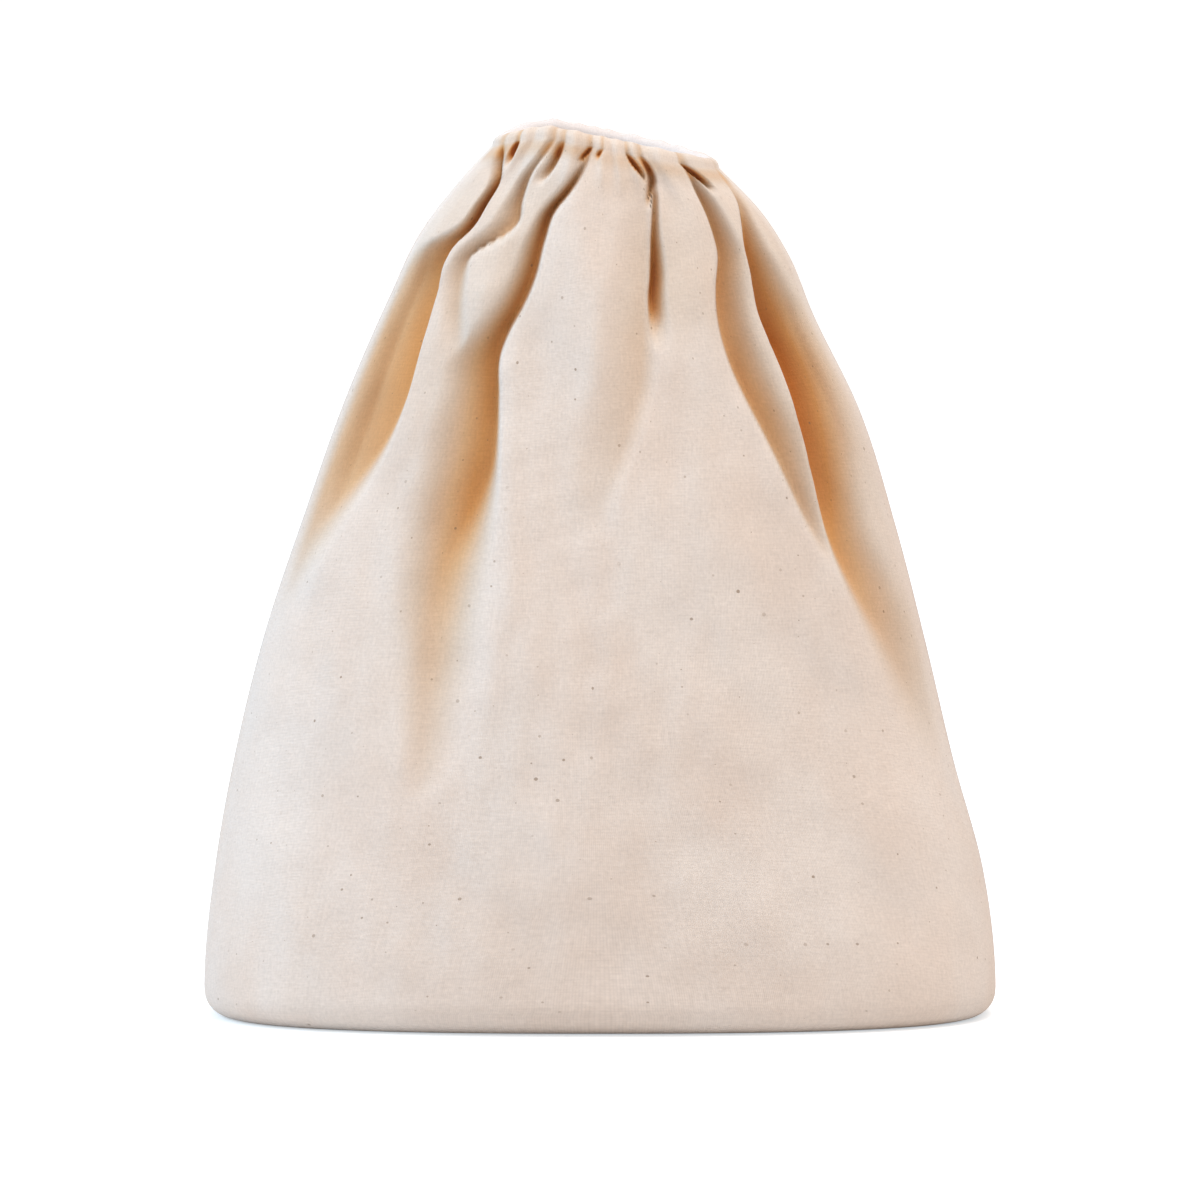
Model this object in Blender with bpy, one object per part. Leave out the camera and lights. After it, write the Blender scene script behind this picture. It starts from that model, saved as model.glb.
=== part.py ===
"""Reusable produce bag: an unbleached cotton drawstring bag, gathered shut and standing.

Metres, +Z up. The front looks along -Y, the side seams lie in the plane y = 0, and the
origin is on the surface that the bag stands on, under the middle of its base.
"""

import math

import bmesh
import bpy
from mathutils import Vector

# Sizes of the standing bag
BAG_HEIGHT = 0.3035
BASE_WIDTH = 0.270
BASE_DEPTH = 0.100
BASE_EDGE = 0.009
MOUTH_WIDTH = 0.0765
MOUTH_DEPTH = 0.050
MOUTH_DROP = 0.0115
CASING_HEIGHT = 0.018

# Sizes of the cloth, its folds and the drawstring
CLOTH = 0.0012
FOLD_DEPTH = 0.015
FOLD_WIDTH = 0.0062
CORD_DIAMETER = 0.004
CORD_CLEARANCE = 0.0003
SEAM_GAP = 0.0004

# The rim's highest place across the bag, from -1 at the left seam to 1 at the right,
# its fall to the left seam as a share of its drop to the right one, and its bow
RIM_PEAK = -0.5
LEFT_FALL = 0.35
RIM_BOW = 1.1

# How far the casing's turned-in layer follows the gathers of its outer layer
INNER_FOLLOWS = 0.5

# How many faces each piece has
COLUMNS = 40
WALL_ROWS = 16
OUTER_ROWS = 3
BEND_ROWS = 4
TURNED_ROWS = 2

# A row for each section, by its share of the height. Wide and deep are shares of the way
# from the mouth's size to the base's, and shift is a share of the base's width. An oval
# of 1 is an ellipse, and less is squarer.
SECTIONS = (
    # height, wide, deep, shift, oval
    (0.00, 1.000, 1.00, 0.000, 0.78),
    (0.04, 1.000, 1.02, 0.000, 0.80),
    (0.17, 0.957, 1.10, -0.001, 0.95),
    (0.30, 0.868, 1.08, -0.007, 1.05),
    (0.44, 0.764, 0.98, -0.006, 1.08),
    (0.58, 0.637, 0.84, 0.000, 1.05),
    (0.72, 0.494, 0.66, 0.004, 1.00),
    (0.83, 0.341, 0.48, 0.002, 0.97),
    (0.90, 0.246, 0.34, 0.005, 0.94),
    (0.95, 0.141, 0.20, 0.008, 0.92),
    (1.00, 0.000, 0.00, 0.007, 0.92),
)

# A row for each valley between two folds. Mouth, middle and foot are its place across the
# bag, from -1 at the left seam to 1 at the right. Low is the height of its foot as a share
# of the bag's height, and deep and wide are shares of the fold's depth and width.
FRONT_FOLDS = (
    # mouth, middle, foot, low, deep, wide
    (-0.80, -0.86, -0.92, 0.46, 1.10, 1.05),
    (-0.46, -0.68, -0.60, 0.74, 0.60, 0.65),
    (-0.17, -0.44, -0.50, 0.22, 1.15, 1.10),
    (0.38, 0.27, 0.08, 0.52, 0.80, 0.65),
    (0.60, 0.645, 0.78, 0.46, 0.80, 0.80),
    (0.90, 0.85, 0.84, 0.40, 1.20, 1.05),
    (-0.64, -0.66, -0.68, 0.90, 0.30, 0.40),
    (0.02, 0.00, -0.02, 0.90, 0.30, 0.40),
    (0.20, 0.18, 0.16, 0.91, 0.25, 0.40),
    (0.75, 0.78, 0.80, 0.89, 0.30, 0.40),
)
BACK_FOLDS = (
    # mouth, middle, foot, low, deep, wide
    (-0.84, -0.85, -0.88, 0.44, 1.00, 1.00),
    (-0.52, -0.58, -0.66, 0.34, 0.95, 1.00),
    (-0.14, -0.22, -0.34, 0.50, 0.90, 0.85),
    (0.24, 0.22, 0.16, 0.30, 1.10, 1.05),
    (0.58, 0.62, 0.66, 0.48, 0.85, 0.90),
    (0.86, 0.87, 0.90, 0.42, 1.05, 1.00),
    (-0.34, -0.36, -0.38, 0.86, 0.35, 0.45),
    (0.04, 0.03, 0.02, 0.88, 0.30, 0.45),
    (0.42, 0.43, 0.44, 0.87, 0.35, 0.45),
)

# The two sides of the bag, as signs along Y
FRONT = -1
BACK = 1

# What follows from the sizes: the fold of the casing over the cord, and the end ovals
BASE_OVAL = SECTIONS[0][-1]
MOUTH_OVAL = SECTIONS[-1][-1]
CORD_RADIUS = CORD_DIAMETER / 2
BEND_RADIUS = CORD_RADIUS + CORD_CLEARANCE + CLOTH


def smooth_step(value):
    """A smooth rise from 0 to 1."""
    share = min(max(value, 0.0), 1.0)
    return share * share * (3.0 - 2.0 * share)


def signed_power(value, power):
    """A power that keeps the sign."""
    return math.copysign(abs(value) ** power, value)


def rim_height(turn):
    """Height of the mouth's rim: highest left of the middle, lowest at the right seam."""
    across = -signed_power(math.cos(math.pi * turn), MOUTH_OVAL)
    if across < RIM_PEAK:
        fall = LEFT_FALL * ((RIM_PEAK - across) / (1.0 + RIM_PEAK)) ** 2
    else:
        fall = ((across - RIM_PEAK) / (1.0 - RIM_PEAK)) ** RIM_BOW
    return BAG_HEIGHT - MOUTH_DROP * fall


def wall_top(turn):
    """Where the upright wall ends and the casing bends over the cord."""
    return rim_height(turn) - BEND_RADIUS


def section_row(height):
    """The values of the sections' rows, part of the way between the nearest two."""
    lower = SECTIONS[0]
    upper = SECTIONS[1]
    for below, above in zip(SECTIONS, SECTIONS[1:]):
        if below[0] <= height:
            lower = below
            upper = above
    part_way = (height - lower[0]) / (upper[0] - lower[0])
    return [low + (high - low) * part_way for low, high in zip(lower[1:], upper[1:])]


def section_sizes(height):
    """Half width, half depth and sideways shift of the section at a share of the height."""
    wide, deep, shift, oval = section_row(height)
    half_width = (MOUTH_WIDTH + (BASE_WIDTH - MOUTH_WIDTH) * wide) / 2
    half_depth = (MOUTH_DEPTH + (BASE_DEPTH - MOUTH_DEPTH) * deep) / 2
    return half_width, half_depth, shift * BASE_WIDTH


def oval_power(height):
    """How square the section is at a share of the height."""
    return section_row(height)[-1]


def oval_point(side, turn, power):
    """Unit oval: place across and along, with turn 0 at the left seam and 1 at the right."""
    angle = math.pi * turn
    across = -signed_power(math.cos(angle), power)
    along = side * abs(math.sin(angle)) ** power
    return across, along


def fold_place(fold, height):
    """Where a valley runs at a share of the height, on a curve through its three places."""
    mouth, middle, foot, low = fold[:4]
    down = min((1.0 - height) / (1.0 - low), 1.0)
    return (
        mouth * (1 - down) * (1 - 2 * down)
        + 4 * middle * down * (1 - down)
        + foot * down * (2 * down - 1)
    )


def fold_depth(side, across, height, half_width):
    """How far the cloth is drawn in at a place, as the deepest of the valleys there."""
    folds = FRONT_FOLDS if side == FRONT else BACK_FOLDS
    gather_run = 1.6 * CASING_HEIGHT / BAG_HEIGHT
    depth = 0.0
    for fold in folds:
        low, deep, wide = fold[3:]
        gathered = smooth_step((1.0 - height) / gather_run)
        faded = smooth_step(1.6 * (height - low) / (1.0 - low))
        opened = FOLD_WIDTH * wide * (1.0 + 0.9 * (1.0 - height))
        offset = (across - fold_place(fold, height)) * half_width / opened
        valley = math.exp(-offset * offset)
        depth = max(depth, FOLD_DEPTH * deep * gathered * faded * valley)
    return depth


def outward_at(across, along, power, half_width, half_depth):
    """The level direction that points out of an oval section."""
    steep = 2.0 / power - 1.0
    slope_x = signed_power(across, steep) / half_width
    slope_y = signed_power(along, steep) / half_depth
    return Vector((slope_x, slope_y, 0.0)).normalized()


def wall_point(side, turn, height):
    """A point on the outside of the cloth wall, at a share of the way up to the bend."""
    half_width, half_depth, shift = section_sizes(height)
    power = oval_power(height)
    across, along = oval_point(side, turn, power)
    place = Vector((across * half_width + shift, along * half_depth, height * wall_top(turn)))
    drawn_in = fold_depth(side, across, height, half_width)
    return place - outward_at(across, along, power, half_width, half_depth) * drawn_in


def seam_to_seam(around):
    """Side and turn at a place round the mouth: 0 to 1 along the front, 1 to 2 back again."""
    around = around % 2.0
    if around <= 1.0:
        return FRONT, around
    return BACK, 2.0 - around


def cord_centre(around):
    """A point on the drawstring's middle line, under the bend of the casing."""
    side, turn = seam_to_seam(around)
    half_width, half_depth, shift = section_sizes(1.0)
    across, along = oval_point(side, turn, MOUTH_OVAL)
    outward = outward_at(across, along, MOUTH_OVAL, half_width, half_depth)
    place = Vector((across * half_width + shift, along * half_depth, wall_top(turn)))
    return place - outward * BEND_RADIUS, outward


def square_up(around, outward):
    """The upward direction square to the drawstring, which slopes with the rim."""
    reach = 0.25 / COLUMNS
    run = cord_centre(around + reach)[0] - cord_centre(around - reach)[0]
    return outward.cross(run).normalized()


def base_rows():
    """Half width, half depth and height of the rows under the base and round its edge."""
    flat_width = BASE_WIDTH / 2 - BASE_EDGE
    flat_depth = BASE_DEPTH / 2 - BASE_EDGE
    rows = [(flat_width, flat_depth * share, 0.0) for share in (0.0, 0.4, 0.75, 1.0)]
    for degrees in (30, 60):
        out = BASE_EDGE * math.sin(math.radians(degrees))
        up = BASE_EDGE * (1 - math.cos(math.radians(degrees)))
        rows.append((flat_width + out, flat_depth + out, up))
    return rows


def panel_point(side, turn, row, base):
    """A point on the outside of a panel, counted in rows from the bottom seam."""
    if row < len(base):
        half_width, half_depth, up = base[row]
        across, along = oval_point(side, turn, BASE_OVAL)
        return Vector((across * half_width, along * half_depth, up))
    climb = 1.0 - (1.0 - (row - len(base)) / WALL_ROWS) ** 1.35
    lowest = BASE_EDGE / wall_top(turn)
    highest = (rim_height(turn) - CASING_HEIGHT - SEAM_GAP) / wall_top(turn)
    return wall_point(side, turn, lowest + (highest - lowest) * climb)


def casing_point(around, row):
    """A point on the casing: up its outer layer, over the cord and down its inner layer."""
    side, turn = seam_to_seam(around)
    foot = rim_height(turn) - CASING_HEIGHT
    centre, outward = cord_centre(around)
    if row <= OUTER_ROWS:
        up = foot + (wall_top(turn) - foot) * row / OUTER_ROWS
        return wall_point(side, turn, up / wall_top(turn))
    if row <= OUTER_ROWS + BEND_ROWS:
        angle = math.pi * (row - OUTER_ROWS) / BEND_ROWS
        direction = outward * math.cos(angle) + square_up(around, outward) * math.sin(angle)
        return centre + direction * BEND_RADIUS
    down = (row - OUTER_ROWS - BEND_ROWS) / TURNED_ROWS
    up = wall_top(turn) - (wall_top(turn) - foot) * down
    across = oval_point(side, turn, MOUTH_OVAL)[0]
    half_width = section_sizes(1.0)[0]
    follow = INNER_FOLLOWS * fold_depth(side, across, up / wall_top(turn), half_width)
    level = centre - outward * (BEND_RADIUS + follow)
    return Vector((level.x, level.y, up))


def finish_object(name, data, colour, roughness):
    """Link a mesh or curve as a named object with a material of its own."""
    material = bpy.data.materials.new(name + "_cotton")
    material.use_nodes = True
    shader = material.node_tree.nodes["Principled BSDF"]
    shader.inputs["Base Color"].default_value = (*colour, 1.0)
    shader.inputs["Roughness"].default_value = roughness
    shader.inputs["Metallic"].default_value = 0.0
    data.materials.append(material)
    piece = bpy.data.objects.new(name, data)
    bpy.context.collection.objects.link(piece)


def thicken(sheet):
    """Give an open sheet the cloth's thickness on its inner side, with level upper edges."""
    outside = set(sheet.verts)
    edge_points = [v for v in sheet.verts if v.is_boundary and v.co.z > BAG_HEIGHT / 2]
    bmesh.ops.solidify(sheet, geom=sheet.faces[:], thickness=CLOTH)
    for outer in edge_points:
        for edge in outer.link_edges:
            inner = edge.other_vert(outer)
            if inner not in outside:
                inner.co.z = outer.co.z
    bmesh.ops.recalc_face_normals(sheet, faces=sheet.faces)


def finish_sheet(name, sheet, colour):
    """Turn the bmesh of a cloth piece into its smooth-shaded object."""
    mesh = bpy.data.meshes.new(name)
    sheet.to_mesh(mesh)
    sheet.free()
    mesh.shade_smooth()
    finish_object(name, mesh, colour, 0.92)


def make_panel(name, side, colour):
    """One of the two cloth panels, from the bottom seam up to the casing."""
    base = base_rows()
    rows = len(base) + WALL_ROWS
    sheet = bmesh.new()
    bmesh.ops.create_grid(sheet, x_segments=COLUMNS, y_segments=rows, size=1.0)
    for vertex in sheet.verts:
        turn = (vertex.co.x + 1) / 2
        row = round((vertex.co.y + 1) / 2 * rows)
        vertex.co = panel_point(side, turn, row, base)
    bmesh.ops.remove_doubles(sheet, verts=sheet.verts, dist=1e-6)
    if side == BACK:
        bmesh.ops.reverse_faces(sheet, faces=sheet.faces)
    thicken(sheet)
    for vertex in sheet.verts:
        if vertex.co.y * side < SEAM_GAP / 2:
            vertex.co.y = side * SEAM_GAP / 2
    finish_sheet(name, sheet, colour)


def make_casing(name, colour):
    """The turned hem channel round the mouth, gathered on the drawstring."""
    rows = OUTER_ROWS + BEND_ROWS + TURNED_ROWS
    sheet = bmesh.new()
    bmesh.ops.create_grid(sheet, x_segments=COLUMNS * 2, y_segments=rows, size=1.0)
    for vertex in sheet.verts:
        row = round((vertex.co.y + 1) / 2 * rows)
        vertex.co = casing_point(vertex.co.x + 1, row)
    bmesh.ops.remove_doubles(sheet, verts=sheet.verts, dist=1e-6)
    thicken(sheet)
    finish_sheet(name, sheet, colour)


def make_drawstring(name, colour):
    """The cotton cord that lies in the casing, all the way round the mouth."""
    curve = bpy.data.curves.new(name, "CURVE")
    curve.dimensions = "3D"
    curve.bevel_depth = CORD_RADIUS
    curve.bevel_resolution = 2
    line = curve.splines.new("POLY")
    line.points.add(COLUMNS * 2 - 1)
    line.use_cyclic_u = True
    line.use_smooth = True
    for number, point in enumerate(line.points):
        point.co = (*cord_centre(number / COLUMNS)[0], 1.0)
    finish_object(name, curve, colour, 0.85)


for old in list(bpy.data.objects):
    bpy.data.objects.remove(old)

make_panel("front_panel", FRONT, (0.80, 0.70, 0.58))
make_panel("back_panel", BACK, (0.78, 0.68, 0.56))
make_casing("mouth_casing", (0.80, 0.71, 0.60))
make_drawstring("drawstring", (0.82, 0.78, 0.70))
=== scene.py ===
import math

import bmesh
import bpy
import numpy as np
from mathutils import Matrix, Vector


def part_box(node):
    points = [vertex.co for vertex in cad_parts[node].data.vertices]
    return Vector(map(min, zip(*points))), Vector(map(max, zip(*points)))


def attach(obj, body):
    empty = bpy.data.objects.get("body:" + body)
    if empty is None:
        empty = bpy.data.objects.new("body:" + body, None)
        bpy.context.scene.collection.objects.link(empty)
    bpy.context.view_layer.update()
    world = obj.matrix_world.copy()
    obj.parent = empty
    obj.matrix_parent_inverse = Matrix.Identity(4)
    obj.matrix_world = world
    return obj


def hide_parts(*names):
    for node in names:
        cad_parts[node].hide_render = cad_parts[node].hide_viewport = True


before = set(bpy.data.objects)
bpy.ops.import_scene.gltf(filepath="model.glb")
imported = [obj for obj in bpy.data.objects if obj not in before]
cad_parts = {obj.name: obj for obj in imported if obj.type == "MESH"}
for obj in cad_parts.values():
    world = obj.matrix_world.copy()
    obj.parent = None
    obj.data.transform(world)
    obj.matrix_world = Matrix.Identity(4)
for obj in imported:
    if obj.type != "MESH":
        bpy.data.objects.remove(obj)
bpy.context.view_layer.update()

scene = bpy.context.scene

# Surface: one wide sheet of white acrylic on a light table, glowing softly from below,
# so that the bag stands on plain white with hardly a shadow.
FLOOR_SIZE = 40.0
FLOOR_WHITE = 0.75
FLOOR_GLOW = 0.52
FLOOR_LIGHTS = 0.03
GLOW_COLOUR = (0.85, 0.94, 1.0)
FLOOR_ROUGH = 0.9
FLOOR_SHINE = 0.1

floor_mesh = bpy.data.meshes.new("white_acrylic")
floor_shape = bmesh.new()
bmesh.ops.create_grid(floor_shape, x_segments=1, y_segments=1, size=FLOOR_SIZE / 2)
floor_shape.to_mesh(floor_mesh)
floor_shape.free()
floor = bpy.data.objects.new("white_acrylic", floor_mesh)
scene.collection.objects.link(floor)
floor_finish = bpy.data.materials.new("glowing_acrylic")
floor_finish.use_nodes = True
floor_shader = floor_finish.node_tree.nodes["Principled BSDF"]
floor_shader.inputs["Base Color"].default_value = (FLOOR_WHITE, FLOOR_WHITE, FLOOR_WHITE, 1.0)
floor_shader.inputs["Roughness"].default_value = FLOOR_ROUGH
floor_shader.inputs["Specular IOR Level"].default_value = FLOOR_SHINE
floor_shader.inputs["Emission Color"].default_value = (*GLOW_COLOUR, 1.0)
floor_nodes = floor_finish.node_tree.nodes
floor_links = floor_finish.node_tree.links
seen_by_lens = floor_nodes.new("ShaderNodeLightPath")
glow = floor_nodes.new("ShaderNodeMath")
glow.operation = "MULTIPLY_ADD"
glow.inputs[1].default_value = FLOOR_GLOW - FLOOR_LIGHTS
glow.inputs[2].default_value = FLOOR_LIGHTS
floor_links.new(seen_by_lens.outputs["Is Camera Ray"], glow.inputs[0])
floor_links.new(glow.outputs[0], floor_shader.inputs["Emission Strength"])
floor_mesh.materials.append(floor_finish)

# Camera: straight in front of the bag and a little above it, tilted down a few degrees
# behind a long lens. The photograph is 1200 pixels wide, and the base spans 796 of them.
PHOTO_PIXELS = 1200
BASE_PIXELS = 796
CAMERA_RISE_DEG = 7.0
LENS_MM = 240.0
SENSOR_MM = 36.0
AIM_HEIGHT = 0.1418

base_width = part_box("front_panel")[1][0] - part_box("front_panel")[0][0]
view_width = base_width * PHOTO_PIXELS / BASE_PIXELS
distance = view_width * LENS_MM / SENSOR_MM
tilt = math.radians(CAMERA_RISE_DEG)
camera_data = bpy.data.cameras.new("studio_camera")
camera_data.lens = LENS_MM
camera_data.sensor_width = SENSOR_MM
camera_data.clip_start = 0.01
camera = bpy.data.objects.new("studio_camera", camera_data)
camera.location = (0.0, -distance * math.cos(tilt), AIM_HEIGHT + distance * math.sin(tilt))
camera.rotation_euler = (math.pi / 2 - tilt, 0.0, 0.0)
scene.collection.objects.link(camera)
scene.camera = camera

# Light: an even, warm white room, with a cool soft lamp grazing the bag from its left and
# a broad one overhead that brightens whatever leans back. A small cool one behind it
# whitens the far side of the mouth.
ROOM_STRENGTH = 0.85
BACKDROP_STRENGTH = 1.05
ROOM_COLOUR = (1.0, 0.865, 0.775)
LAMPS = (
    # name, size, place, watts, colour
    ("cool_left_lamp", 0.9, (-1.5, -0.25, 0.9), 16.5, (0.37, 0.66, 0.93)),
    ("overhead_lamp", 1.0, (0.3, -0.4, 2.0), 24.0, (1.0, 1.0, 1.0)),
    ("cool_back_lamp", 0.5, (-0.3, 1.2, 1.3), 4.0, (0.30, 0.65, 1.0)),
)

room = bpy.data.worlds.new("white_room")
room.use_nodes = True
room_nodes = room.node_tree.nodes
room_links = room.node_tree.links
room_light = room_nodes["Background"]
room_light.inputs["Color"].default_value = (*ROOM_COLOUR, 1.0)
room_light.inputs["Strength"].default_value = ROOM_STRENGTH
backdrop = room_nodes.new("ShaderNodeBackground")
backdrop.inputs["Color"].default_value = (1.0, 1.0, 1.0, 1.0)
backdrop.inputs["Strength"].default_value = BACKDROP_STRENGTH
seen_straight = room_nodes.new("ShaderNodeLightPath")
lit_backdrop = room_nodes.new("ShaderNodeMixShader")
room_links.new(seen_straight.outputs["Is Camera Ray"], lit_backdrop.inputs[0])
room_links.new(room_light.outputs[0], lit_backdrop.inputs[1])
room_links.new(backdrop.outputs[0], lit_backdrop.inputs[2])
room_links.new(lit_backdrop.outputs[0], room_nodes["World Output"].inputs["Surface"])
scene.world = room
for lamp_name, lamp_size, lamp_place, watts, lamp_colour in LAMPS:
    lamp_data = bpy.data.lights.new(lamp_name, "AREA")
    lamp_data.size = lamp_size
    lamp_data.energy = watts
    lamp_data.color = lamp_colour
    lamp = bpy.data.objects.new(lamp_name, lamp_data)
    lamp.location = lamp_place
    to_bag = Vector((0.0, 0.0, AIM_HEIGHT)) - lamp.location
    lamp.rotation_euler = to_bag.to_track_quat("-Z", "Y").to_euler()
    scene.collection.objects.link(lamp)
scene.view_settings.view_transform = "Standard"

# Form of the filled-out bag: oval sections from the flat base up to the drawn-in mouth.
# The sizes are those of the rigid walls that the cloth stands for.
BAG_HEIGHT = 0.3035
BASE_WIDTH = 0.270
BASE_DEPTH = 0.100
BASE_EDGE = 0.009
MOUTH_WIDTH = 0.0765
MOUTH_DEPTH = 0.050
MOUTH_DROP = 0.0115
CASING_HEIGHT = 0.018
CORD_BEND = 0.0035
MOUTH_OVAL = 0.92
RIM_PEAK = -0.5
LEFT_FALL = 0.35
RIM_BOW = 1.1

SECTIONS = np.array((
    # height, wide, deep, shift, oval
    (0.00, 1.000, 1.00, 0.000, 0.78),
    (0.04, 1.000, 1.02, 0.000, 0.80),
    (0.17, 0.957, 1.10, -0.001, 0.95),
    (0.30, 0.868, 1.08, -0.007, 1.05),
    (0.44, 0.764, 0.98, -0.006, 1.08),
    (0.58, 0.637, 0.84, 0.000, 1.05),
    (0.72, 0.494, 0.66, 0.004, 1.00),
    (0.83, 0.341, 0.48, 0.002, 0.97),
    (0.90, 0.246, 0.34, 0.005, 0.94),
    (0.95, 0.141, 0.20, 0.008, 0.92),
    (1.00, 0.000, 0.00, 0.007, 0.92),
))


def smooth_step(value):
    share = np.clip(value, 0.0, 1.0)
    return share * share * (3.0 - 2.0 * share)


def smooth_table(at, places, values):
    """A smooth curve through a table's values, with no kink at its rows."""
    slopes = np.gradient(values, places)
    row = np.clip(np.searchsorted(places, at, side="right") - 1, 0, len(places) - 2)
    gap = places[row + 1] - places[row]
    way = np.clip((at - places[row]) / gap, 0.0, 1.0)
    start = values[row] * (1 + 2 * way) * (1 - way) ** 2 + slopes[row] * gap * way * (1 - way) ** 2
    end = values[row + 1] * way**2 * (3 - 2 * way) - slopes[row + 1] * gap * way**2 * (1 - way)
    return start + end


def signed_power(value, power):
    return np.sign(value) * np.abs(value) ** power


def rim_height(turn):
    across = -signed_power(np.cos(np.pi * turn), MOUTH_OVAL)
    left = LEFT_FALL * (np.clip(RIM_PEAK - across, 0.0, None) / (1.0 + RIM_PEAK)) ** 2
    right = (np.clip(across - RIM_PEAK, 0.0, None) / (1.0 - RIM_PEAK)) ** RIM_BOW
    return BAG_HEIGHT - MOUTH_DROP * (left + right)


def section_sizes(height):
    heights = SECTIONS[:, 0]
    wide, deep, shift = [smooth_table(height, heights, column) for column in SECTIONS.T[1:4]]
    half_width = (MOUTH_WIDTH + (BASE_WIDTH - MOUTH_WIDTH) * wide) / 2
    half_depth = (MOUTH_DEPTH + (BASE_DEPTH - MOUTH_DEPTH) * deep) / 2
    return half_width, half_depth, shift * BASE_WIDTH


def oval(side, turn, height):
    """Place across and along a unit section, and the level outward direction there."""
    power = smooth_table(height, SECTIONS[:, 0], SECTIONS[:, 4])
    half_width, half_depth, shift = section_sizes(height)
    across = -signed_power(np.cos(np.pi * turn), power)
    along = side * np.abs(np.sin(np.pi * turn)) ** power
    slope_x = signed_power(across, 2.0 / power - 1.0) / half_width
    slope_y = signed_power(along, 2.0 / power - 1.0) / half_depth
    length = np.hypot(slope_x, slope_y)
    return across, along, slope_x / length, slope_y / length


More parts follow.
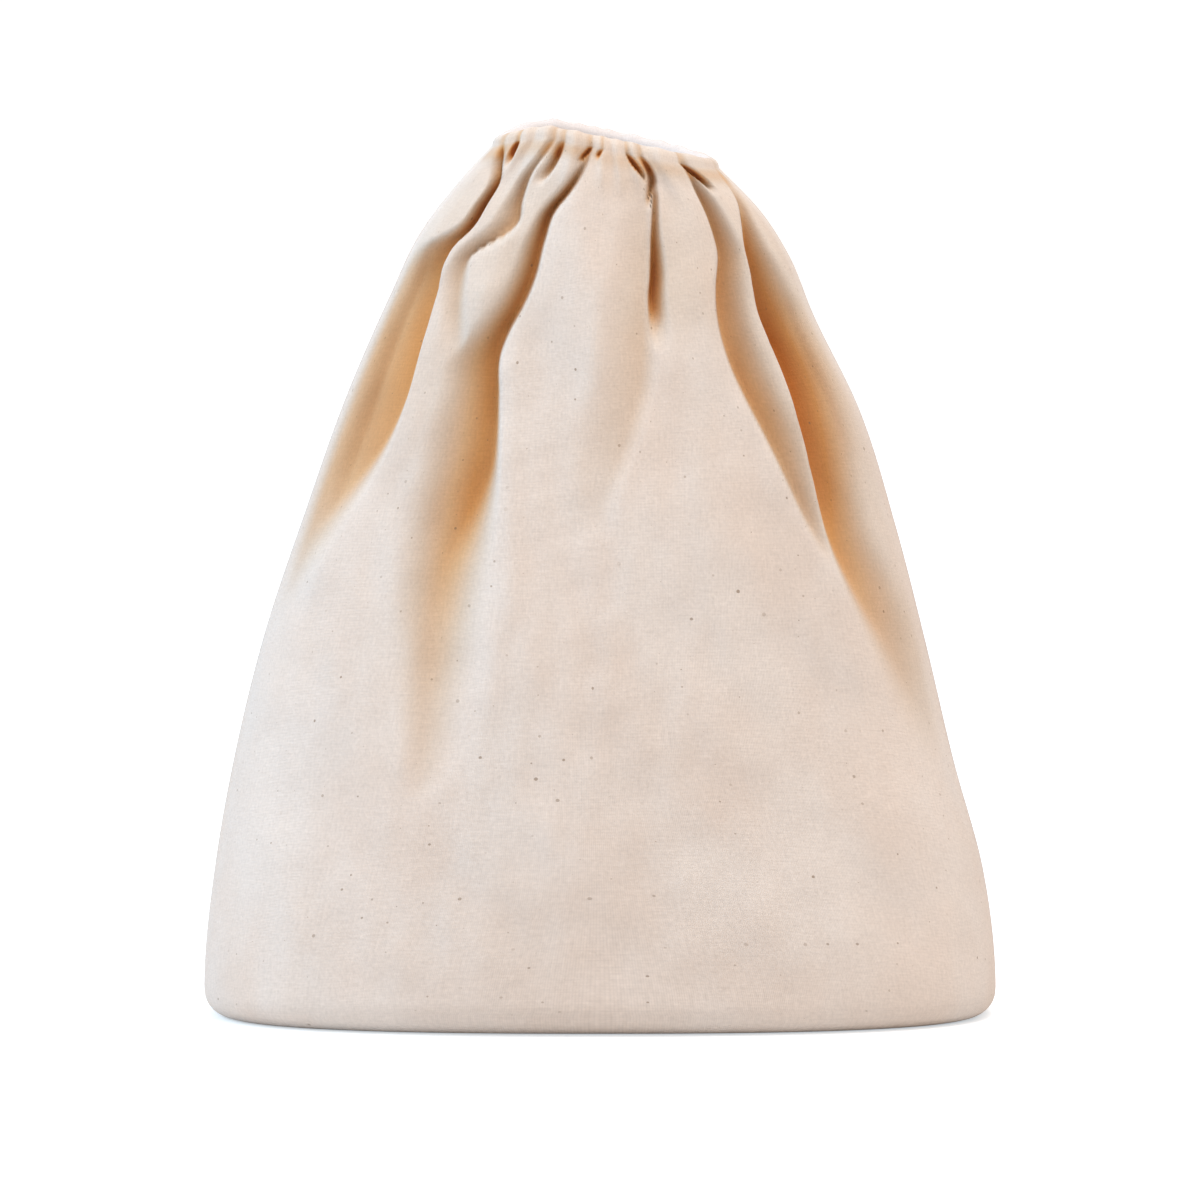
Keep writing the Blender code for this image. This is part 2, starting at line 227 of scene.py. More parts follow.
# Folds: the cloth is pulled together on its cord, so valleys run down from the mouth. On
# one side of each, a ridge stands over it with a firm edge, and the other side rises softly.
MM = 0.001
LEFT_OF_EDGE = -1
RIGHT_OF_EDGE = 1
FRONT_FOLDS = {
    # height, place of the firm edge across the bag, then in millimetres: deep, firm side, soft side
    "outer_left": (LEFT_OF_EDGE, (
        (0.44, -0.960, 0.0, 12.0, 20.0),
        (0.51, -0.890, 2.5, 12.0, 24.0),
        (0.57, -0.840, 5.5, 12.0, 28.0),
        (0.62, -0.795, 8.0, 9.0, 30.0),
        (0.66, -0.765, 9.5, 5.5, 30.0),
        (0.71, -0.750, 10.5, 3.0, 28.0),
        (0.77, -0.757, 11.0, 2.2, 25.0),
        (0.83, -0.768, 11.0, 2.2, 18.0),
        (0.868, -0.782, 11.0, 2.2, 12.0),
        (0.885, -0.762, 10.5, 2.2, 9.0),
        (0.900, -0.712, 10.0, 2.2, 5.0),
        (0.930, -0.690, 10.0, 2.2, 3.2),
        (0.953, -0.690, 8.5, 2.2, 2.6),
        (0.977, -0.770, 5.5, 2.0, 2.2),
        (1.000, -0.850, 0.9, 2.0, 2.0),
    )),
    "left_crease": (LEFT_OF_EDGE, (
        (0.745, -0.510, 0.0, 5.0, 6.0),
        (0.775, -0.550, 2.0, 5.0, 6.0),
        (0.800, -0.585, 3.5, 4.5, 6.0),
        (0.830, -0.620, 4.2, 4.0, 6.0),
        (0.858, -0.642, 4.8, 3.5, 5.5),
        (0.871, -0.640, 5.2, 3.0, 5.0),
        (0.882, -0.582, 6.0, 2.5, 6.5),
        (0.893, -0.505, 6.5, 2.2, 8.0),
        (0.905, -0.464, 7.0, 2.0, 7.5),
        (0.930, -0.484, 6.5, 2.0, 4.5),
        (0.960, -0.490, 5.0, 2.0, 3.0),
        (0.983, -0.452, 3.0, 1.8, 2.2),
        (1.000, -0.410, 0.8, 1.8, 2.0),
    )),
    "middle_left": (LEFT_OF_EDGE, (
        (0.265, -0.430, 0.0, 9.0, 6.0),
        (0.290, -0.390, 1.8, 12.0, 8.0),
        (0.336, -0.357, 3.6, 17.0, 11.0),
        (0.381, -0.337, 5.2, 21.0, 13.0),
        (0.426, -0.322, 7.0, 23.0, 15.0),
        (0.471, -0.318, 8.5, 23.0, 17.0),
        (0.515, -0.322, 10.0, 21.0, 18.0),
        (0.559, -0.332, 11.5, 15.0, 19.0),
        (0.604, -0.344, 12.5, 8.5, 20.0),
        (0.640, -0.356, 12.5, 4.5, 19.0),
        (0.670, -0.370, 12.0, 3.0, 18.0),
        (0.714, -0.393, 12.0, 2.4, 15.0),
        (0.765, -0.414, 12.0, 2.2, 12.0),
        (0.790, -0.391, 11.5, 2.2, 9.0),
        (0.818, -0.348, 11.0, 2.2, 7.5),
        (0.850, -0.314, 10.5, 2.2, 6.5),
        (0.893, -0.297, 10.0, 2.2, 5.0),
        (0.925, -0.277, 9.5, 2.0, 3.6),
        (0.947, -0.214, 8.5, 1.8, 3.2),
        (0.965, -0.165, 6.0, 1.8, 2.8),
        (0.982, -0.126, 3.0, 1.6, 2.2),
        (1.000, -0.100, 0.8, 1.6, 2.0),
    )),
    "gore_dip": (LEFT_OF_EDGE, (
        (0.56, 0.020, 0.0, 7.0, 14.0),
        (0.62, 0.085, 1.2, 7.0, 16.0),
        (0.69, 0.165, 2.4, 7.0, 17.0),
        (0.745, 0.225, 3.0, 7.0, 16.0),
        (0.800, 0.255, 3.4, 6.0, 14.0),
        (0.860, 0.260, 2.6, 4.0, 11.0),
        (0.920, 0.280, 1.6, 3.0, 8.0),
        (0.970, 0.300, 0.0, 3.0, 6.0),
    )),
    "slit": (RIGHT_OF_EDGE, (
        (0.780, 0.180, 0.0, 5.0, 6.0),
        (0.805, 0.195, 4.0, 3.0, 5.5),
        (0.822, 0.207, 8.5, 1.8, 5.0),
        (0.840, 0.213, 10.5, 1.6, 4.6),
        (0.865, 0.227, 10.5, 1.6, 4.2),
        (0.890, 0.236, 9.0, 1.6, 3.6),
        (0.915, 0.250, 7.0, 1.6, 2.6),
        (0.938, 0.270, 5.5, 1.6, 2.0),
        (0.955, 0.290, 4.5, 1.6, 1.8),
        (0.970, 0.300, 0.0, 1.6, 1.8),
    )),
    "slit_top": (LEFT_OF_EDGE, (
        (0.940, 0.275, 0.0, 1.6, 1.6),
        (0.951, 0.302, 5.0, 1.7, 1.8),
        (0.962, 0.340, 7.0, 1.8, 2.4),
        (0.975, 0.382, 7.0, 1.8, 3.0),
        (0.987, 0.380, 5.0, 1.8, 2.6),
        (1.000, 0.335, 0.8, 1.6, 2.2),
    )),
    "inner_right": (RIGHT_OF_EDGE, (
        (0.545, 0.730, 0.0, 3.0, 3.0),
        (0.572, 0.704, 3.0, 2.6, 4.0),
        (0.595, 0.683, 5.0, 2.4, 5.5),
        (0.645, 0.639, 7.0, 2.2, 8.5),
        (0.690, 0.596, 8.5, 2.2, 11.0),
        (0.728, 0.557, 9.5, 2.2, 12.0),
        (0.765, 0.530, 9.5, 2.2, 12.0),
        (0.815, 0.525, 9.5, 2.2, 10.5),
        (0.860, 0.553, 9.5, 2.2, 8.5),
        (0.900, 0.603, 8.5, 2.0, 7.0),
        (0.934, 0.611, 7.5, 1.8, 5.5),
        (0.965, 0.615, 6.0, 1.8, 4.0),
        (0.985, 0.632, 3.0, 1.8, 2.5),
        (1.000, 0.640, 0.6, 1.8, 2.0),
    )),
    "outer_right": (RIGHT_OF_EDGE, (
        (0.300, 0.870, 0.0, 13.0, 13.0),
        (0.396, 0.832, 3.5, 12.0, 15.0),
        (0.455, 0.808, 5.5, 9.0, 17.0),
        (0.511, 0.777, 8.5, 6.0, 15.0),
        (0.563, 0.752, 11.0, 4.0, 13.0),
        (0.618, 0.746, 13.5, 3.0, 12.5),
        (0.700, 0.741, 16.0, 2.4, 14.5),
        (0.790, 0.740, 17.0, 2.2, 14.5),
        (0.831, 0.733, 15.0, 2.2, 13.5),
        (0.872, 0.746, 12.0, 2.2, 9.0),
        (0.913, 0.772, 9.5, 2.2, 5.5),
        (0.940, 0.825, 7.0, 2.0, 3.5),
        (0.968, 0.899, 4.0, 1.8, 2.2),
        (1.000, 0.938, 0.6, 1.8, 2.0),
    )),
    "rim_far_left": (LEFT_OF_EDGE, (
        (0.968, -0.690, 0.0, 1.5, 2.0),
        (0.982, -0.700, 6.0, 1.5, 2.2),
        (0.994, -0.715, 4.5, 1.5, 2.0),
        (1.000, -0.725, 1.2, 1.5, 2.0),
    )),
    "rim_curl": (LEFT_OF_EDGE, (
        (0.952, -0.410, 0.0, 1.5, 3.0),
        (0.964, -0.375, 5.5, 1.4, 3.0),
        (0.980, -0.345, 6.0, 1.4, 2.6),
        (1.000, -0.330, 0.8, 1.4, 2.2),
    )),
    "rim_middle": (LEFT_OF_EDGE, (
        (0.978, -0.180, 0.0, 1.2, 1.8),
        (0.986, -0.155, 4.2, 1.2, 1.8),
        (0.995, -0.110, 3.4, 1.2, 1.6),
        (1.000, -0.095, 0.6, 1.2, 1.6),
    )),
    "rim_small": (LEFT_OF_EDGE, (
        (0.985, -0.050, 0.0, 1.0, 1.4),
        (0.993, -0.030, 3.0, 1.0, 1.4),
        (1.000, 0.000, 0.8, 1.0, 1.4),
    )),
    "rim_gore": (RIGHT_OF_EDGE, (
        (0.966, 0.262, 0.0, 1.3, 1.8),
        (0.978, 0.235, 5.5, 1.3, 2.2),
        (0.990, 0.185, 5.0, 1.3, 2.2),
        (1.000, 0.150, 0.8, 1.3, 2.0),
    )),
    "rim_right": (RIGHT_OF_EDGE, (
        (0.968, 0.735, 0.0, 1.3, 2.4),
        (0.980, 0.715, 5.5, 1.4, 2.6),
        (0.992, 0.660, 5.0, 1.4, 2.6),
        (1.000, 0.620, 0.8, 1.3, 2.2),
    )),
}
BACK_FOLDS = (
    # mouth, middle, foot, low, deep, soft side, which side is soft
    (-0.80, -0.84, -0.90, 0.42, 11.0, 13.0, LEFT_OF_EDGE),
    (-0.48, -0.55, -0.64, 0.33, 11.0, 15.0, LEFT_OF_EDGE),
    (-0.18, -0.26, -0.38, 0.50, 10.0, 11.0, LEFT_OF_EDGE),
    (0.22, 0.20, 0.14, 0.28, 12.0, 16.0, RIGHT_OF_EDGE),
    (0.54, 0.60, 0.64, 0.48, 9.5, 11.0, RIGHT_OF_EDGE),
    (0.80, 0.83, 0.87, 0.40, 12.0, 14.0, RIGHT_OF_EDGE),
    (-0.34, -0.37, -0.40, 0.84, 6.0, 3.6, LEFT_OF_EDGE),
    (0.04, 0.03, 0.02, 0.86, 5.5, 3.4, RIGHT_OF_EDGE),
    (0.40, 0.42, 0.44, 0.85, 6.0, 3.6, RIGHT_OF_EDGE),
    (0.68, 0.71, 0.74, 0.88, 4.5, 3.0, RIGHT_OF_EDGE),
    (-0.64, -0.68, -0.72, 0.88, 4.5, 3.0, LEFT_OF_EDGE),
)
BACK_FOLD_RUN = (
    # way down the fold, share of its depth, firm side in millimetres, share of its soft side
    (0.00, 0.00, 1.6, 0.30),
    (0.10, 0.70, 1.8, 0.40),
    (0.30, 1.00, 2.2, 0.70),
    (0.55, 0.80, 2.6, 1.00),
    (0.80, 0.35, 5.0, 1.00),
    (1.00, 0.00, 8.0, 0.80),
)
SEAM_CALM = 0.10
SEAM_SHADE_PAINT_FADE = 0.04
LIP_SHARE = 0.05
LIP_WIDE = 0.004
LIP_BEYOND_EDGE = 0.9
RISE_STARTS = 0.5
SOFT_REACH = 1.4
PINCH_FROM = 0.8
PINCH_SPAN = 2.0
PINCH_DARKENS = 0.8
SHADE_HALO_SHARE = 0.21
SHADE_HALO_WIDE = 0.030
RIM_BAND = 0.025
RIM_DARKENS = 6.0
SAME_PLACE = 1e-6


def back_fold_stations(mouth, middle, foot, low, deep, soft):
    """Stations down a plain fold on the side that the photograph does not show."""
    stations = []
    for down, share, firm, spread in BACK_FOLD_RUN:
        near_mouth = (1 - down) * (1 - 2 * down)
        near_middle = 4 * down * (1 - down)
        near_foot = down * (2 * down - 1)
        place = mouth * near_mouth + middle * near_middle + foot * near_foot
        stations.append((1.0 - (1.0 - low) * down, place, deep * share, firm, soft * spread))
    return stations


def drawn_in_by_folds(side, across, height, half_width):
    """How far the folds on one side draw the cloth in, and how much painted shade they put into its
    colour.
    """
    if side < 0:
        folds = list(FRONT_FOLDS.values())
    else:
        folds = [(way, back_fold_stations(*row)) for *row, way in BACK_FOLDS]
    valleys = np.zeros_like(across)
    lips = np.zeros_like(across)
    shades = np.zeros_like(across)
    for way, stations in folds:
        table = np.array(sorted(stations))
        edge, deep, firm, soft = [smooth_table(height, table[:, 0], table[:, k]) for k in (1, 2, 3, 4)]
        within = (height > table[0, 0]) & (height < table[-1, 0] + SAME_PLACE)
        deep = np.where(within, np.clip(deep, 0.0, None), 0.0) * MM
        inside = way * (across - edge) * half_width
        wall = smooth_step(inside / (firm * MM))
        rise = 1.0 - smooth_step((inside - RISE_STARTS * firm * MM) / (SOFT_REACH * soft * MM))
        valleys = valleys + (deep * wall * rise) ** 3
        lips = np.maximum(lips, LIP_SHARE * deep * np.exp(-((inside / LIP_WIDE + LIP_BEYOND_EDGE) ** 2)))
        # Painted shade: darker where a fold is narrow and deep, with a faint halo of it over the soft
        # side.
        pinched = smooth_step((deep / (soft * MM) - PINCH_FROM) / PINCH_SPAN)
        shade_halo = SHADE_HALO_SHARE * deep * wall * np.exp(-((inside / SHADE_HALO_WIDE) ** 2))
        shades = shades + (deep * wall * rise * (1.0 + PINCH_DARKENS * pinched) + shade_halo) ** 3
    calm = smooth_step((1.0 - np.abs(across)) / SEAM_CALM)
    # The painted shade fades out at the seams and is made stronger near the rim, in the narrow slits.
    shade_paint_share = smooth_step((1.0 - np.abs(across)) / SEAM_SHADE_PAINT_FADE)
    shade_paint_share = shade_paint_share * (1.0 + RIM_DARKENS * smooth_step((height - 1.0 + RIM_BAND) / RIM_BAND))
    return (np.cbrt(valleys) - lips) * calm, np.cbrt(shades) * shade_paint_share


# Swells and ripples: cloth isn't smooth between its folds. It stands out where two folds
# leave it full, bunches round the cord, and keeps the small waves of having been handled.
FRONT_SWELLS = (
    # across, height, half width and half height in metres, proud in metres
    (-0.545, 0.832, 0.008, 0.017, 0.0030),
    (-0.100, 0.300, 0.060, 0.090, 0.0025),
    (-0.300, 0.440, 0.012, 0.050, 0.0020),
    (0.480, 0.560, 0.035, 0.050, 0.0020),
    (0.100, 0.780, 0.018, 0.050, 0.0015),
)
RIPPLE_SEED = 7
RIPPLES = (
    # wavelength in metres, how high in metres, how many waves
    (0.055, 0.00070, 7),
    (0.022, 0.00022, 9),
    (0.009, 0.00006, 12),
)
UPRIGHT_RIPPLES = (
    # wavelength in metres, how high in metres, how many waves
    (0.032, 0.00045, 5),
    (0.013, 0.00012, 6),
)
UPRIGHT_LEAN = 0.30
RIM_GATHERS = (
    # across, half width and proud in millimetres
    (-0.90, 2.6, 1.4),
    (-0.70, 2.4, 2.0),
    (-0.52, 2.6, 2.6),
    (-0.27, 2.4, 2.4),
    (-0.03, 2.0, 1.8),
    (0.10, 2.0, 1.6),
    (0.24, 2.2, 1.8),
    (0.48, 2.8, 2.0),
    (0.78, 2.8, 1.8),
)
GATHERS_FROM = 0.94
GATHERS_SPAN = 0.05
CALM_FOOT = 0.03
CALM_TOP = 0.01
PULL_SIDEWAYS = 0.35


def ripples(side, across, up):
    """Small unevenness of cloth that has been handled, as a sum of waves."""
    draw = np.random.default_rng(RIPPLE_SEED + side)
    total = np.zeros_like(across)
    for wavelength, high, count in RIPPLES:
        for _ in range(count):
            heading, phase = draw.uniform(0.0, 2 * np.pi, 2)
            run = across * np.cos(heading) + up * np.sin(heading)
            total = total + high / math.sqrt(count) * np.sin(2 * np.pi * run / wavelength + phase)
    for wavelength, high, count in UPRIGHT_RIPPLES:
        for _ in range(count):
            heading = draw.uniform(-UPRIGHT_LEAN, UPRIGHT_LEAN)
            phase = draw.uniform(0.0, 2 * np.pi)
            run = across * np.cos(heading) + up * np.sin(heading)
            total = total + high / math.sqrt(count) * np.sin(2 * np.pi * run / wavelength + phase)
    return total


def rim_gathers(side, across, height):
    """How far the gathers stand out round the casing, where the cord bunches the cloth."""
    half_width = section_sizes(height)[0]
    proud = np.zeros_like(across)
    for place, wide, rise in RIM_GATHERS:
        run = (across + side * place) * half_width / (wide * MM)
        proud = np.maximum(proud, rise * MM * np.exp(-(run**2)))
    calm = smooth_step((1.0 - np.abs(across)) / SEAM_CALM)
    return proud * calm * smooth_step((height - GATHERS_FROM) / GATHERS_SPAN)


def cloth_wall(side, turn, height):
    """Places on the outside of the cloth, and how much painted fold shade each gets."""
    half_width, half_depth, shift = section_sizes(height)
    across, along, out_x, out_y = oval(side, turn, height)
    top = rim_height(turn) - CORD_BEND
    z = height * top
    drawn_in, shaded = drawn_in_by_folds(side, across, height, half_width)
    calm = smooth_step((1.0 - np.abs(across)) / SEAM_CALM)
    calm = calm * smooth_step(z / CALM_FOOT) * smooth_step((top - z) / CALM_TOP)
    proud = ripples(side, across * half_width, z) * calm
    if side < 0:
        for place, level, wide, tall, rise in FRONT_SWELLS:
            run = np.hypot((across - place) * half_width / wide, (height - level) * BAG_HEIGHT / tall)
            proud = proud + rise * np.exp(-(run**2))
    proud = proud + rim_gathers(side, across, height)
    level_x = PULL_SIDEWAYS * out_x
    stretch = np.hypot(level_x, out_y)
    inward = drawn_in - proud
    x = across * half_width + shift - level_x / stretch * inward
    y = along * half_depth - out_y / stretch * inward
    return x, y, z, shaded


# Panels: the front and the back of the bag, each one piece of calico cut 305 by 380 mm.
# Each runs from the bottom seam, under the base, up the wall, over the cord and down
# inside as the turned hem of the casing. The two are sewn together at the sides.
CUT_WIDTH = 0.305
CLOTH = 0.0006
ACROSS_STEPS = 240
EVEN_SHARE = 0.7
STRETCHES = (
    # part of the panel, how many rows of faces
    ("base", 12),
    ("edge", 8),
    ("wall", 140),
    ("bend", 8),
)
HEM_STEPS = 8
ROWS_CROWD_UP = 1.25
INNER_FOLLOWS = 0.5
# On the far side of the mouth, light comes through the hem: it gets painted light, which
# makes it paler, and its painted fold shade is made fainter.
PAINTED_LIGHT_EDGE = 2.0
FAR_HEM_SHADE_KEPT = 0.2


def panel_rows():
    """The kind of each row of the panel and how far along its stretch it lies."""
    rows = []
    for kind, steps in STRETCHES:
        rows += [(kind, step / steps) for step in range(steps)]
    rows += [("hem", step / HEM_STEPS) for step in range(HEM_STEPS + 1)]
    return rows


def panel_row_places(side, turn, kind, way):
    """Places of one row of the panel, from seam to seam."""
    flat_width = BASE_WIDTH / 2 - BASE_EDGE
    flat_depth = BASE_DEPTH / 2 - BASE_EDGE
    top = rim_height(turn) - CORD_BEND
    zero = np.zeros_like(turn)
    mouth = np.ones_like(turn)
    if kind in ("base", "edge"):
        across, along, out_x, out_y = oval(side, turn, zero)
        if kind == "base":
            return across * flat_width, along * flat_depth * way, zero, zero
        out = BASE_EDGE * math.sin(way * math.pi / 2)
        up = BASE_EDGE * (1 - math.cos(way * math.pi / 2))
        return across * (flat_width + out), along * (flat_depth + out), zero + up, zero
    if kind == "wall":
        lowest = BASE_EDGE / top
        climb = 1.0 - (1.0 - way) ** ROWS_CROWD_UP
        return cloth_wall(side, turn, lowest + (1.0 - lowest) * climb)
    across, along, out_x, out_y = oval(side, turn, mouth)
    x, y, z, shaded = cloth_wall(side, turn, mouth)
    gathers = rim_gathers(side, across, mouth)
    # The far hem gets painted light: its colour is made paler and its painted fold shade fainter.
    painted_light = PAINTED_LIGHT_EDGE * MM if side > 0 else 0.0
    kept = FAR_HEM_SHADE_KEPT if side > 0 else 1.0
    if kind == "bend":
        inward = (CORD_BEND + gathers / 2) * (1 - math.cos(way * math.pi))
        z = z + (CORD_BEND + gathers / 4) * math.sin(way * math.pi)
        shaded = kept * shaded * math.cos(way * math.pi / 2) - painted_light * way
        return x - out_x * inward, y - out_y * inward, z, shaded
    down = way * (CASING_HEIGHT - CORD_BEND)
    half_width = section_sizes(mouth)[0]
    drawn_in, shaded = drawn_in_by_folds(side, across, (top - down) / top, half_width)
    inward = 2 * CORD_BEND + gathers + INNER_FOLLOWS * np.clip(drawn_in, 0.0, None)
    return x - out_x * inward, y - out_y * inward, z - down, kept * shaded - painted_light


def make_panel(name, side):
    """A panel of cloth with its thickness, its weave map and its mask of painted fold shade."""
    rows = panel_rows()
    shape = bmesh.new()
    bmesh.ops.create_grid(shape, x_segments=ACROSS_STEPS, y_segments=len(rows) - 1, size=1.0)
    weave_map = shape.loops.layers.uv.new("weave")
    fold_shade_paint = shape.verts.layers.float.new("fold_shade_paint")
    even = np.linspace(0.0, 1.0, ACROSS_STEPS + 1)
    turns = (1 - EVEN_SHARE) * even + EVEN_SHARE * np.arccos(1 - 2 * even) / np.pi
    places = [panel_row_places(side, turns, kind, way) for kind, way in rows]
    places = np.array([np.stack(row, axis=-1) for row in places])
    middle = ACROSS_STEPS // 2
    steps = np.linalg.norm(np.diff(places[:, middle, :3], axis=0), axis=1)
    lengths = np.concatenate(((0.0,), np.cumsum(steps)))
    for vertex in shape.verts:
        column = round((vertex.co.x + 1) / 2 * ACROSS_STEPS)
        row = round((vertex.co.y + 1) / 2 * (len(rows) - 1))
        for loop in vertex.link_loops:
            loop[weave_map].uv = (turns[column] * CUT_WIDTH, lengths[row])
        x, y, z, shaded = places[row, column]
        vertex.co = (x, y, z)
        # Stores the painted fold shade, in millimetres, for the cloth's colour.
        vertex[fold_shade_paint] = shaded / MM
    bmesh.ops.remove_doubles(shape, verts=shape.verts, dist=SAME_PLACE)
    if side > 0:
        bmesh.ops.reverse_faces(shape, faces=shape.faces)
    mesh = bpy.data.meshes.new(name)
    shape.to_mesh(mesh)
    shape.free()
    mesh.shade_smooth()
    panel = bpy.data.objects.new(name, mesh)
    scene.collection.objects.link(panel)
    wall = panel.modifiers.new("cloth_thickness", "SOLIDIFY")
    wall.thickness = CLOTH
    wall.offset = -1.0
    return panel


front_cloth = make_panel("front_cloth", -1)
back_cloth = make_panel("back_cloth", 1)

# The calico itself: plain weave, two threads to the millimetre, cream, with painted shade
# deep in the folds that turns it warmer and darker. Its yarn is uneven, and bits of seed husk
# show as grey-brown specks.
THREAD_PITCH = 0.0005
SLUB_THICK = 0.0006
SLUB_LONG = 0.007
SPECK_SPACING = 0.008
SPECK_RADIUS = 0.0007
PAINTED_FOLD_SHADES = (
    # millimetres deep in a fold, red, green, blue of the painted shade there, warmer and darker
    # the deeper the fold. The first row is painted light, for cloth lit through from behind.
    (-2.0, 0.700, 0.700, 0.730),
    (0.0, 0.700, 0.640, 0.590),
    (2.2, 0.645, 0.565, 0.490),
    (4.5, 0.605, 0.490, 0.385),
    (6.5, 0.610, 0.450, 0.315),
    (9.0, 0.610, 0.405, 0.235),
    (13.0, 0.590, 0.310, 0.120),
    (20.0, 0.460, 0.165, 0.040),
)
SPECK_BROWN = (0.22, 0.15, 0.09, 1.0)
SPECK_STRENGTH = 0.70
WARM_CAST = (0.985, 0.945, 0.915, 1.0)
WARM_CONTRAST = 5.0
WARM_START = -2.0
CLOUDS = (0.030, 0.040, 3.0)
FIBRES = (0.0011, 0.0014, 3.0)
WARM_PATCHES = (0.045, 0.080, 3.0)
SLUB_RELIEF = 0.8
FIBRE_RELIEF = 0.5
WEAVE_STRENGTH = 0.5
WEAVE_HIGH = 0.00012
CALICO_ROUGH = 0.92
CALICO_SHINE = 0.15
CALICO_SHEEN = 0.10

calico = bpy.data.materials.new("unbleached_calico")
calico.use_nodes = True
calico_nodes = calico.node_tree.nodes
calico_links = calico.node_tree.links
shader = calico_nodes["Principled BSDF"]
shader.inputs["Roughness"].default_value = CALICO_ROUGH
shader.inputs["Specular IOR Level"].default_value = CALICO_SHINE
shader.inputs["Sheen Weight"].default_value = CALICO_SHEEN


def feed(socket, value):
    """Join a node's output to an input, or set the input's own value."""
    if isinstance(value, bpy.types.NodeSocket):
        calico_links.new(value, socket)
    else:
        socket.default_value = value


def reckon(operation, *values):
    """A sum, product or other reckoning on the cloth's patterns."""
    step = calico_nodes.new("ShaderNodeMath")
    step.operation = operation
    for socket, value in zip(step.inputs, values):
        feed(socket, value)
    return step.outputs[0]


def stretched_noise(place, size_across, size_along, detail=2.0):
    """Soft noise with blotches of one size across the cloth and another along it."""
    spread = calico_nodes.new("ShaderNodeMapping")
    spread.inputs["Scale"].default_value = (1 / size_across, 1 / size_along, 1.0)
    calico_links.new(place, spread.inputs["Vector"])
    cloudy = calico_nodes.new("ShaderNodeTexNoise")
    cloudy.inputs["Scale"].default_value = 1.0
    cloudy.inputs["Detail"].default_value = detail
    calico_links.new(spread.outputs[0], cloudy.inputs["Vector"])
    return cloudy.outputs["Fac"]


def tinted(share, under, over, blend="MIX"):
    """One colour laid over another."""
    mixer = calico_nodes.new("ShaderNodeMix")
    mixer.data_type = "RGBA"
    mixer.blend_type = blend
    feed(mixer.inputs[0], share)
    feed(mixer.inputs[6], under)
    feed(mixer.inputs[7], over)
    return mixer.outputs[2]


on_cloth = calico_nodes.new("ShaderNodeUVMap")
on_cloth.uv_map = "weave"
on_cloth = on_cloth.outputs["UV"]
split = calico_nodes.new("ShaderNodeSeparateXYZ")
calico_links.new(on_cloth, split.inputs[0])
warp_turn = reckon("MULTIPLY", split.outputs["X"], math.pi / THREAD_PITCH)
weft_turn = reckon("MULTIPLY", split.outputs["Y"], math.pi / THREAD_PITCH)
warp_wave = reckon("SINE", warp_turn)
weft_wave = reckon("SINE", weft_turn)
over_under = reckon("MULTIPLY", warp_wave, weft_wave)
threads = reckon("ABSOLUTE", over_under)

warp_slubs = stretched_noise(on_cloth, SLUB_THICK, SLUB_LONG)
weft_slubs = stretched_noise(on_cloth, SLUB_LONG, SLUB_THICK)
slubs = reckon("ADD", warp_slubs, weft_slubs)

clouds = stretched_noise(on_cloth, *CLOUDS)
fibres = stretched_noise(on_cloth, *FIBRES)
warm_patches = stretched_noise(on_cloth, *WARM_PATCHES)
warm_share = reckon("MULTIPLY_ADD", warm_patches, WARM_CONTRAST, WARM_START)

speck_cells = calico_nodes.new("ShaderNodeTexVoronoi")
speck_cells.voronoi_dimensions = "2D"
speck_cells.inputs["Scale"].default_value = 1 / SPECK_SPACING
calico_links.new(on_cloth, speck_cells.inputs["Vector"])
speck_draw = calico_nodes.new("ShaderNodeSeparateColor")
calico_links.new(speck_cells.outputs["Color"], speck_draw.inputs[0])
speck_size = reckon("MULTIPLY", speck_draw.outputs["Red"], speck_draw.outputs["Green"])
speck_size = reckon("MULTIPLY", speck_size, SPECK_RADIUS / SPECK_SPACING)
speck_near = reckon("LESS_THAN", speck_cells.outputs["Distance"], speck_size)
speck_tone = reckon("MULTIPLY", speck_draw.outputs["Blue"], SPECK_STRENGTH)
speck_share = reckon("MULTIPLY", speck_near, speck_tone)

# The mask of painted fold shade picks the colour from the ramp: warmer and darker where shade falls.
painted_shade_mask = calico_nodes.new("ShaderNodeAttribute")
painted_shade_mask.attribute_name = "fold_shade_paint"
palest = PAINTED_FOLD_SHADES[0][0]
deepest = PAINTED_FOLD_SHADES[-1][0]
from_palest = reckon("SUBTRACT", painted_shade_mask.outputs["Fac"], palest)
painted_shade_ramp_at = reckon("DIVIDE", from_palest, deepest - palest)
painted_shade_colours = calico_nodes.new("ShaderNodeValToRGB")
ramp = painted_shade_colours.color_ramp
for number, (depth, *tint) in enumerate(PAINTED_FOLD_SHADES):
    way_down = (depth - palest) / (deepest - palest)
    stop = ramp.elements[number] if number < 2 else ramp.elements.new(way_down)
    stop.position = way_down
    stop.color = (*tint, 1.0)
calico_links.new(painted_shade_ramp_at, painted_shade_colours.inputs["Fac"])

UNEVENNESS = (
    # pattern, how much it lightens, tone where it is nothing
    (clouds, 0.12, 0.94),
    (slubs, 0.14, 0.86),
    (fibres, 0.26, 0.87),
    (threads, 0.10, 0.95),
)
shade = 1.0
for pattern, lightens, darkest in UNEVENNESS:
    shade = reckon("MULTIPLY", shade, reckon("MULTIPLY_ADD", pattern, lightens, darkest))
grey = calico_nodes.new("ShaderNodeCombineColor")
for channel in range(3):
    calico_links.new(shade, grey.inputs[channel])
# The cloth's own uneven tone is laid over the painted fold shade.
cloth_colour = tinted(1.0, painted_shade_colours.outputs["Color"], grey.outputs[0], "MULTIPLY")
warmed = tinted(1.0, cloth_colour, WARM_CAST, "MULTIPLY")
cloth_colour = tinted(warm_share, cloth_colour, warmed)
cloth_colour = tinted(speck_share, cloth_colour, SPECK_BROWN)
calico_links.new(cloth_colour, shader.inputs["Base Color"])

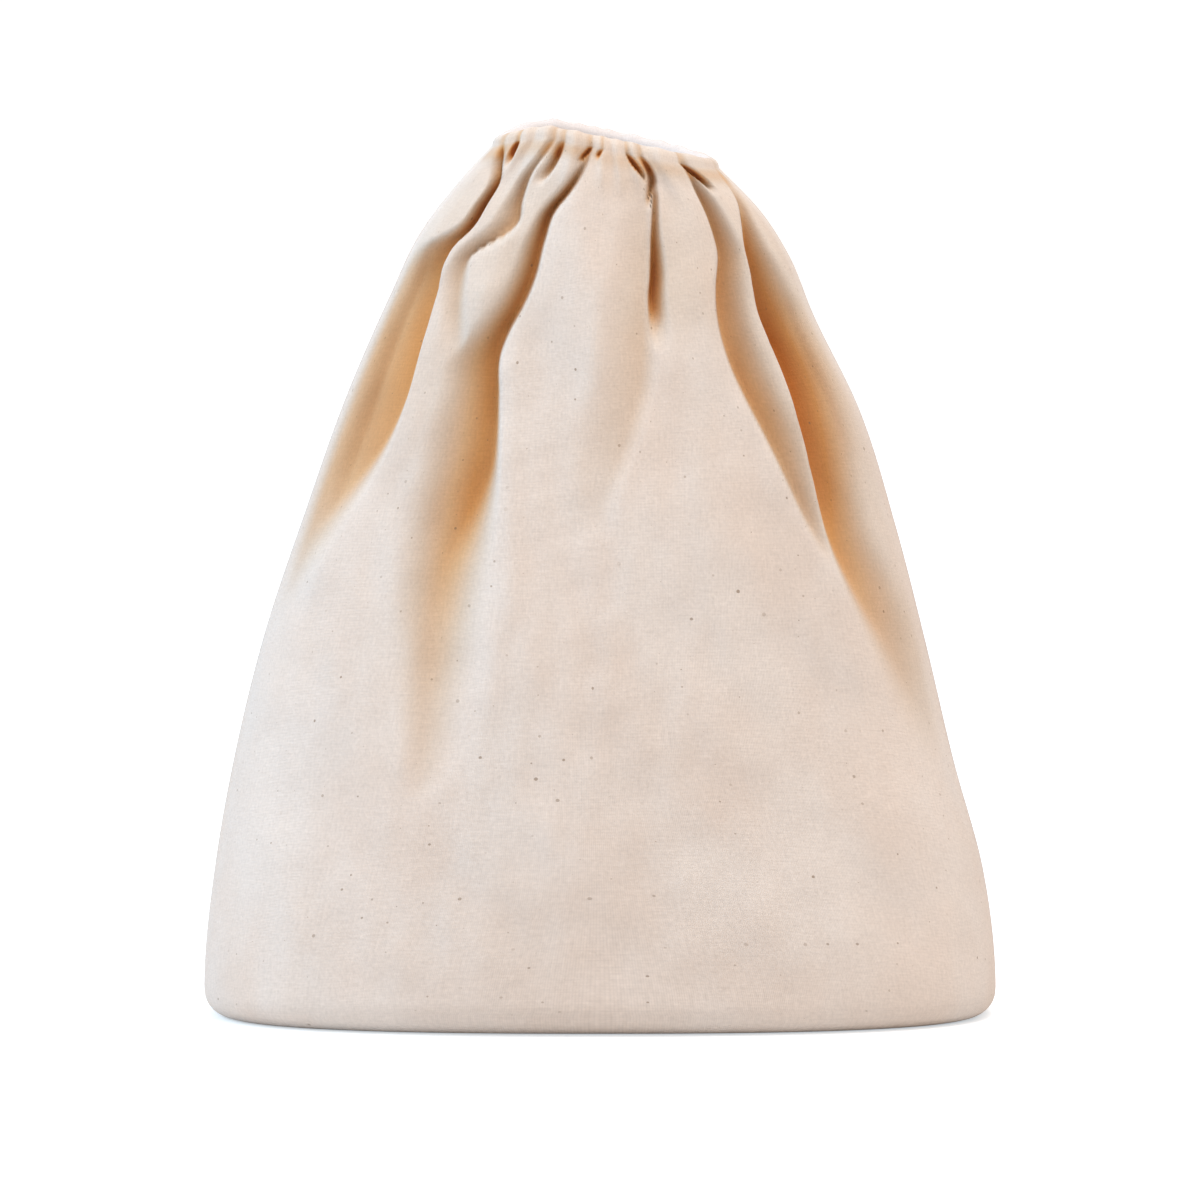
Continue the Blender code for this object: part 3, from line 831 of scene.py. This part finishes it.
relief = reckon("MULTIPLY_ADD", slubs, SLUB_RELIEF, threads)
relief = reckon("MULTIPLY_ADD", fibres, FIBRE_RELIEF, relief)
weave_bump = calico_nodes.new("ShaderNodeBump")
weave_bump.inputs["Strength"].default_value = WEAVE_STRENGTH
weave_bump.inputs["Distance"].default_value = WEAVE_HIGH
calico_links.new(relief, weave_bump.inputs["Height"])
calico_links.new(weave_bump.outputs["Normal"], shader.inputs["Normal"])

for panel, wall_node in ((front_cloth, "front_panel"), (back_cloth, "back_panel")):
    panel.data.materials.append(calico)
    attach(panel, "root")
    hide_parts(wall_node, "mouth_casing")

# Drawstring: soft twisted cotton cord, its pale strands laid at a slant. It runs inside
# the casing all the way round the mouth and holds the gathers.
CORD_COTTON = (0.80, 0.75, 0.66, 1.0)
CORD_GROOVE_SHADE = (0.52, 0.44, 0.34, 1.0)
CORD_ROUGH = 0.88
CORD_SHINE = 0.15
CORD_SHEEN = 0.15
STRAND_SCALE = 260.0
STRAND_WANDER = 1.5
STRAND_DETAIL = 2.0
STRAND_STRENGTH = 0.6
STRAND_HIGH = 0.0004

twisted_cotton = bpy.data.materials.new("twisted_cotton")
twisted_cotton.use_nodes = True
cord_nodes = twisted_cotton.node_tree.nodes
cord_links = twisted_cotton.node_tree.links
cord_shader = cord_nodes["Principled BSDF"]
cord_shader.inputs["Roughness"].default_value = CORD_ROUGH
cord_shader.inputs["Specular IOR Level"].default_value = CORD_SHINE
cord_shader.inputs["Sheen Weight"].default_value = CORD_SHEEN
cord_place = cord_nodes.new("ShaderNodeTexCoord")
strands = cord_nodes.new("ShaderNodeTexWave")
strands.wave_type = "BANDS"
strands.bands_direction = "DIAGONAL"
strands.inputs["Scale"].default_value = STRAND_SCALE
strands.inputs["Distortion"].default_value = STRAND_WANDER
strands.inputs["Detail"].default_value = STRAND_DETAIL
cord_links.new(cord_place.outputs["Object"], strands.inputs["Vector"])
# Between the strands the cord's colour darkens: painted shade in the grooves of the twist.
cord_tone = cord_nodes.new("ShaderNodeMix")
cord_tone.data_type = "RGBA"
cord_tone.inputs[6].default_value = CORD_GROOVE_SHADE
cord_tone.inputs[7].default_value = CORD_COTTON
cord_links.new(strands.outputs["Fac"], cord_tone.inputs[0])
cord_links.new(cord_tone.outputs[2], cord_shader.inputs["Base Color"])
cord_bump = cord_nodes.new("ShaderNodeBump")
cord_bump.inputs["Strength"].default_value = STRAND_STRENGTH
cord_bump.inputs["Distance"].default_value = STRAND_HIGH
cord_links.new(strands.outputs["Fac"], cord_bump.inputs["Height"])
cord_links.new(cord_bump.outputs["Normal"], cord_shader.inputs["Normal"])
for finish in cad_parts["drawstring"].material_slots:
    finish.material = twisted_cotton
